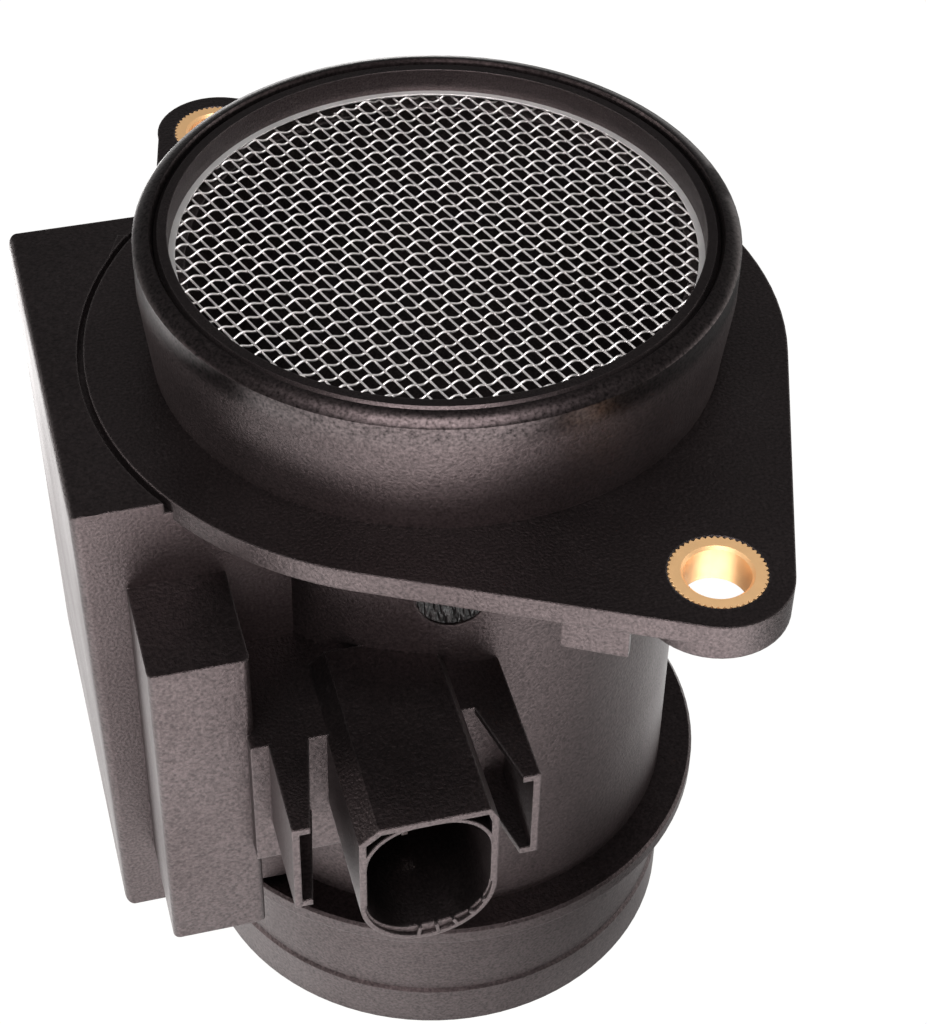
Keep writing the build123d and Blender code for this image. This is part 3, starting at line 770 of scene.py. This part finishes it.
def make_floor():
    """White floor that keeps a faint shadow of the sensor; in reflections it glows with painted
    light and painted shade.
    """
    bpy.ops.object.select_all(action="DESELECT")
    bpy.ops.mesh.primitive_plane_add(size=6.0, location=(0, 0, -0.0002))
    floor = bpy.context.object
    floor.name = floor.data.name = "floor"
    material, tree, shader = surface("White floor", (0.82, 0.81, 0.80), 0.9)
    shader.inputs["Specular IOR Level"].default_value = 0.0
    output = tree.nodes["Material Output"]
    glow = tree.nodes.new("ShaderNodeEmission")
    glow.inputs["Color"].default_value = (1.0, 0.995, 0.985, 1.0)
    blend = tree.nodes.new("ShaderNodeMixShader")
    path = tree.nodes.new("ShaderNodeLightPath")
    mirrored = path.outputs["Is Glossy Ray"]
    seen = seen_directly(tree, path)
    part = math_node(tree, "MAXIMUM", math_node(tree, "MULTIPLY", seen, FLOOR_GLOW_SHARE), mirrored)
    # in reflections the floor is a bright sheet of painted light, with painted shade close to the
    # foot of the sensor
    place = tree.nodes.new("ShaderNodeTexCoord").outputs["Object"]
    from_axis = distance(tree, place, AXIS)
    # painted contact shade near the foot of the sensor
    foot = ramp(tree, distance(tree, place, FOOT_CENTRE), *FOOT_RANGE)
    sheet = math_node(tree, "MULTIPLY", foot, FOOT_GLOW)
    # painted pools of light further out, seen only in reflections
    sheet = math_node(tree, "MULTIPLY_ADD", ramp(tree, from_axis, *FAR_RANGE), FAR_GLOW, sheet)
    sheet = math_node(tree, "MULTIPLY_ADD", ramp(tree, from_axis, *OUTER_RANGE), OUTER_GLOW, sheet)
    sheet = math_node(tree, "MULTIPLY", sheet, ramp(tree, from_axis, *reversed(HORIZON_RANGE)))
    # painted shade under the duct
    sheet = math_node(tree, "MULTIPLY", sheet, ramp(tree, from_axis, *DUCT_RANGE))
    split = tree.nodes.new("ShaderNodeSeparateXYZ")
    tree.links.new(place, split.inputs[0])
    for outer, inner in SIDE_RANGES:
        sheet = math_node(tree, "MULTIPLY", sheet, ramp(tree, split.outputs["X"], outer, inner))
    sheet = math_node(tree, "ADD", sheet, LEAST_GLOW)
    sheet = math_node(tree, "MAXIMUM", sheet, ramp(tree, from_axis, *HORIZON_RANGE))
    # only reflections see this painted light and painted shade
    painted_reflection = math_node(tree, "MULTIPLY", mirrored, sheet)
    strength = math_node(tree, "MAXIMUM", math_node(tree, "MULTIPLY", seen, FLOOR_WHITE), painted_reflection)
    tree.links.new(strength, glow.inputs["Strength"])
    tree.links.new(part, blend.inputs[0])
    tree.links.new(shader.outputs[0], blend.inputs[1])
    tree.links.new(glow.outputs[0], blend.inputs[2])
    tree.links.new(blend.outputs[0], output.inputs["Surface"])
    dress(floor, material)


def make_world(scene):
    """White all round for the eye; the upper part is dark for what reflects in the plastic."""
    world = bpy.data.worlds.new("Studio")
    scene.world = world
    world.use_nodes = True
    tree = world.node_tree
    background = tree.nodes["Background"]
    background.inputs["Strength"].default_value = 1.0
    direction = tree.nodes.new("ShaderNodeTexCoord").outputs["Generated"]
    split = tree.nodes.new("ShaderNodeSeparateXYZ")
    tree.links.new(direction, split.inputs[0])
    height = ramp(tree, split.outputs["Z"], 0.02, 0.35)
    front = ramp(tree, split.outputs["Y"], 0.1, -0.6)
    side = ramp(tree, math_node(tree, "ABSOLUTE", split.outputs["X"]), 0.45, 0.85)
    horizon = mix_colour(tree, front, BACK_HORIZON, FRONT_HORIZON)
    horizon = mix_colour(tree, side, horizon, SIDE_HORIZON)
    gradient = mix_colour(tree, height, horizon, DARK_CEILING)
    path = tree.nodes.new("ShaderNodeLightPath")
    shown = mix_colour(tree, path.outputs["Is Glossy Ray"], ROOM_LIGHT, gradient)
    light = mix_colour(tree, seen_directly(tree, path), shown, WHITE)
    tree.links.new(light, background.inputs["Color"])


def make_camera(scene):
    """Camera above the front, looking down at the inlet and the socket."""
    data = bpy.data.cameras.new("Camera")
    camera = bpy.data.objects.new("Camera", data)
    scene.collection.objects.link(camera)
    data.lens = 87.89
    data.sensor_width = 36.0
    data.clip_start = 0.01
    forward = Vector((0.195196, 0.696233, -0.690767))
    right = Vector((0.966754, -0.255210, 0.015955))
    up = right.cross(forward)
    turn = Matrix((right, up, -forward)).transposed().to_4x4()
    turn.translation = Vector((-62.672, -238.211, 304.626)) * MM
    camera.matrix_world = turn
    scene.camera = camera


class AIRFLOW_PT_panel(bpy.types.Panel):
    """Lists the steps and sizes of the airflow sensor."""
    bl_idname = "AIRFLOW_PT_panel"
    bl_label = "Airflow sensor"
    bl_space_type = "VIEW_3D"
    bl_region_type = "UI"
    bl_category = "Airflow sensor"

    def draw(self, context):
        scene = context.scene
        for operator in OPERATORS:
            self.layout.operator(operator.bl_idname)
        for pointer, _ in POINTERS:
            group = getattr(scene, pointer)
            box = self.layout.box()
            for name in group.__annotations__:
                box.prop(group, name)


SETTINGS = (
    AirflowScreenSettings,
    AirflowDiscSettings,
    AirflowInsertSettings,
    AirflowFinishSettings,
)
OPERATORS = (
    AIRFLOW_OT_materials,
    AIRFLOW_OT_housing,
    AIRFLOW_OT_screen,
    AIRFLOW_OT_inserts,
    AIRFLOW_OT_internals,
    AIRFLOW_OT_stage,
)
POINTERS = (
    ("airflow_screen", AirflowScreenSettings),
    ("airflow_disc", AirflowDiscSettings),
    ("airflow_inserts", AirflowInsertSettings),
    ("airflow_finish", AirflowFinishSettings),
)


def register():
    for item in (*SETTINGS, *OPERATORS, AIRFLOW_PT_panel):
        bpy.utils.register_class(item)
    for name, settings in POINTERS:
        setattr(bpy.types.Scene, name, bpy.props.PointerProperty(type=settings))


def unregister():
    for name, settings in POINTERS:
        delattr(bpy.types.Scene, name)
    for item in reversed((*SETTINGS, *OPERATORS, AIRFLOW_PT_panel)):
        bpy.utils.unregister_class(item)


def main():
    """Registers the add-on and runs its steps."""
    register()
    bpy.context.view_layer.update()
    bpy.ops.airflow.materials()
    bpy.ops.airflow.housing()
    bpy.ops.airflow.screen()
    bpy.ops.airflow.inserts()
    bpy.ops.airflow.internals()
    bpy.ops.airflow.stage()


if __name__ == "__main__":
    main()
